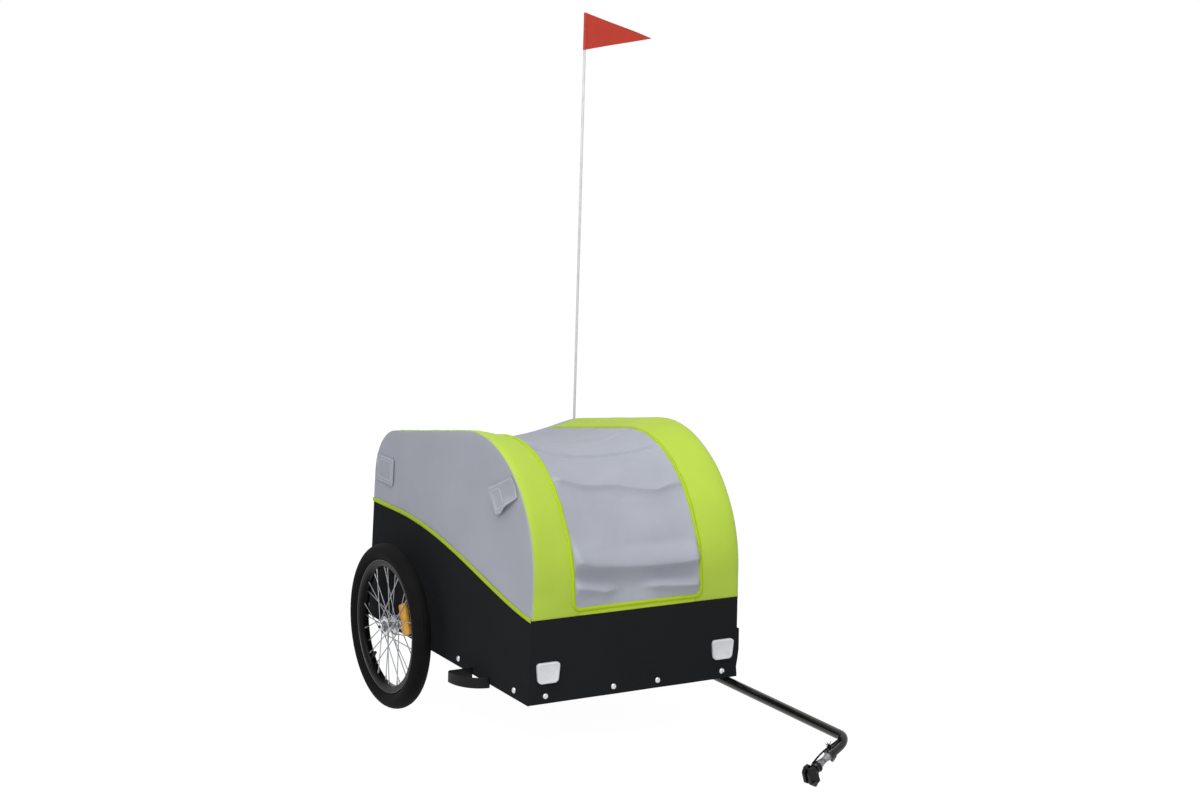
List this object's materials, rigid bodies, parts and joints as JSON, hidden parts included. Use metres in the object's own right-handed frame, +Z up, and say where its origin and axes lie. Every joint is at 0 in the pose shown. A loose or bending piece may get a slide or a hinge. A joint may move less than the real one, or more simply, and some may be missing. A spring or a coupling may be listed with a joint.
{
  "type": "bicycle cargo trailer",
  "caption": "Bicycle cargo trailer with a fabric body on a steel frame, spoked wheels, a folding drawbar and a safety flag.",
  "frame": {"origin": "on the floor under the centre of the trailer's bounding box, standing on both wheels and the coupler", "axes": "+X to the trailer's left, -Y forwards along the direction of travel, +Z up"},
  "size_m": [0.8388, 1.317, 1.6905],
  "materials": {
    "amber_reflector": "amber reflector",
    "black_cloth": "matt woven black polyester",
    "black_plastic": "moulded black",
    "black_rim": "satin black",
    "black_steel": "gloss black paint",
    "board": "black ribbed board",
    "bright_steel": "bright zinc plate",
    "cord_black": "braided black cord",
    "flag_cloth": "red-orange pennant cloth",
    "green_cloth": "matt woven bright green polyester",
    "green_piping": "yellow-green piping and ribbon",
    "grey_cloth": "matt woven grey polyester",
    "grey_rubber": "light grey elastomer",
    "red_reflector": "red reflector",
    "tyre_rubber": "matt black rubber",
    "white_fibre": "white glass fibre",
    "white_reflector": "clear white reflector"
  },
  "bodies": {
    "chassis": {"axle_beam": "black_steel", "drawbar_bracket": "black_steel", "flag_loop": "black_cloth", "flag_socket": "black_plastic", "floor_panel": "board", "front_left_reflector": "white_reflector", "front_rail": "black_steel", "front_right_reflector": "white_reflector", "front_skirt": "black_cloth", "front_strip": "green_cloth", "left_axle": "bright_steel", "left_band": "green_cloth", "left_guard": "black_plastic", "left_hoop": "black_steel", "left_rail": "black_steel", "left_ribbon": "green_piping", "left_side": "grey_cloth", "left_skirt": "black_cloth", "pivot_bolt": "bright_steel", "rear_left_reflector": "red_reflector", "rear_panel": "grey_cloth", "rear_rail": "black_steel", "rear_right_reflector": "red_reflector", "rear_skirt": "black_cloth", "right_axle": "bright_steel", "right_band": "green_cloth", "right_guard": "black_plastic", "right_hoop": "black_steel", "right_rail": "black_steel", "right_ribbon": "green_piping", "right_side": "grey_cloth", "right_skirt": "black_cloth", "roof_bar": "black_steel", "side_pocket": "black_cloth"},
    "cover": {"cover": "grey_cloth", "cover_piping": "green_piping"},
    "left_wheel": {"left_tyre": "tyre_rubber", "left_rim": "black_rim", "left_spoked_hub": "bright_steel", "left_amber": "amber_reflector"},
    "right_wheel": {"right_tyre": "tyre_rubber", "right_rim": "black_rim", "right_spoked_hub": "bright_steel", "right_amber": "amber_reflector"},
    "left_release": {"left_button": "black_plastic"},
    "right_release": {"right_button": "black_plastic"},
    "drawbar": {"drawbar_tube": "black_steel", "end_collar": "black_plastic", "flex_neck": "grey_rubber", "safety_cord": "cord_black"},
    "clamp": {"clamp_knob": "black_plastic"},
    "coupler_cup": {"neck_cup": "black_steel"},
    "coupler": {"coupler_block": "black_plastic"},
    "hitch": {"hitch_pin": "bright_steel"},
    "flag": {"flag_pole": "white_fibre", "flag": "flag_cloth"},
    "left_front_flap": {"left_front_tab": "grey_cloth"},
    "left_rear_flap": {"left_rear_tab": "grey_cloth"},
    "right_front_flap": {"right_front_tab": "grey_cloth"},
    "right_rear_flap": {"right_rear_tab": "grey_cloth"}
  },
  "joints": [
    {"name": "left_wheel_spin", "type": "hinge", "parent": "chassis", "child": "left_wheel", "pos_m": [0.2704, 0.40691, 0.19993], "axis": [1, 0, 0], "continuous": true},
    {"name": "right_wheel_spin", "type": "hinge", "parent": "chassis", "child": "right_wheel", "pos_m": [-0.3896, 0.40691, 0.19993], "axis": [1, 0, 0], "continuous": true},
    {"name": "cover_open", "type": "hinge", "parent": "chassis", "child": "cover", "pos_m": [-0.0596, 0.49758, 0.66043], "axis": [-1, 0, 0], "range_deg": [0, 110]},
    {"name": "drawbar_swing", "type": "hinge", "parent": "chassis", "child": "drawbar", "pos_m": [0.2014, -0.07, 0.13375], "axis": [0, 0.0593, -0.9982], "range_deg": [0, 90]},
    {"name": "clamp_knob_turn", "type": "hinge", "parent": "chassis", "child": "clamp", "pos_m": [0.2014, -0.07, 0.13375], "axis": [0, -0.0593, 0.9982], "continuous": true},
    {"name": "coupler_yaw", "type": "hinge", "parent": "drawbar", "child": "coupler_cup", "pos_m": [0.1367, -0.63798, 0.04909], "axis": [-0.4839, -0.104, 0.8689], "range_deg": [-40, 40], "deforming": ["flex_neck", "safety_cord"]},
    {"name": "coupler_pitch", "type": "hinge", "parent": "coupler_cup", "child": "coupler", "pos_m": [0.105, -0.64035, 0.03115], "axis": [0.1075, -0.9925, -0.0589], "range_deg": [-20, 20], "deforming": ["safety_cord"]},
    {"name": "hitch_pin_pull", "type": "slide", "parent": "coupler", "child": "hitch", "axis": [0.1075, -0.9925, -0.0589], "range_m": [0, 0.04]},
    {"name": "flag_pole_lift", "type": "slide", "parent": "chassis", "child": "flag", "axis": [0, -0.0593, 0.9982], "range_m": [0, 0.1]},
    {"name": "left_release_press", "type": "slide", "parent": "chassis", "child": "left_release", "axis": [-1, 0, 0], "range_m": [0, 0.003], "stiffness_N_per_m": 800},
    {"name": "right_release_press", "type": "slide", "parent": "chassis", "child": "right_release", "axis": [1, 0, 0], "range_m": [0, 0.003], "stiffness_N_per_m": 800},
    {"name": "left_front_tab_peel", "type": "hinge", "parent": "chassis", "child": "left_front_flap", "pos_m": [0.20689, -0.12272, 0.59517], "axis": [0.0213, -0.3518, -0.9358], "range_deg": [0, 110]},
    {"name": "left_rear_tab_peel", "type": "hinge", "parent": "chassis", "child": "left_rear_flap", "pos_m": [0.20873, 0.6085, 0.55951], "axis": [-0.0233, -0.0592, 0.998], "range_deg": [0, 22]},
    {"name": "right_front_tab_peel", "type": "hinge", "parent": "chassis", "child": "right_front_flap", "pos_m": [-0.3261, -0.12272, 0.59517], "axis": [0.0213, 0.3518, 0.9358], "range_deg": [0, 110]},
    {"name": "right_rear_tab_peel", "type": "hinge", "parent": "chassis", "child": "right_rear_flap", "pos_m": [-0.32793, 0.6085, 0.55951], "axis": [-0.0233, 0.0592, -0.998], "range_deg": [0, 110]}
  ]
}
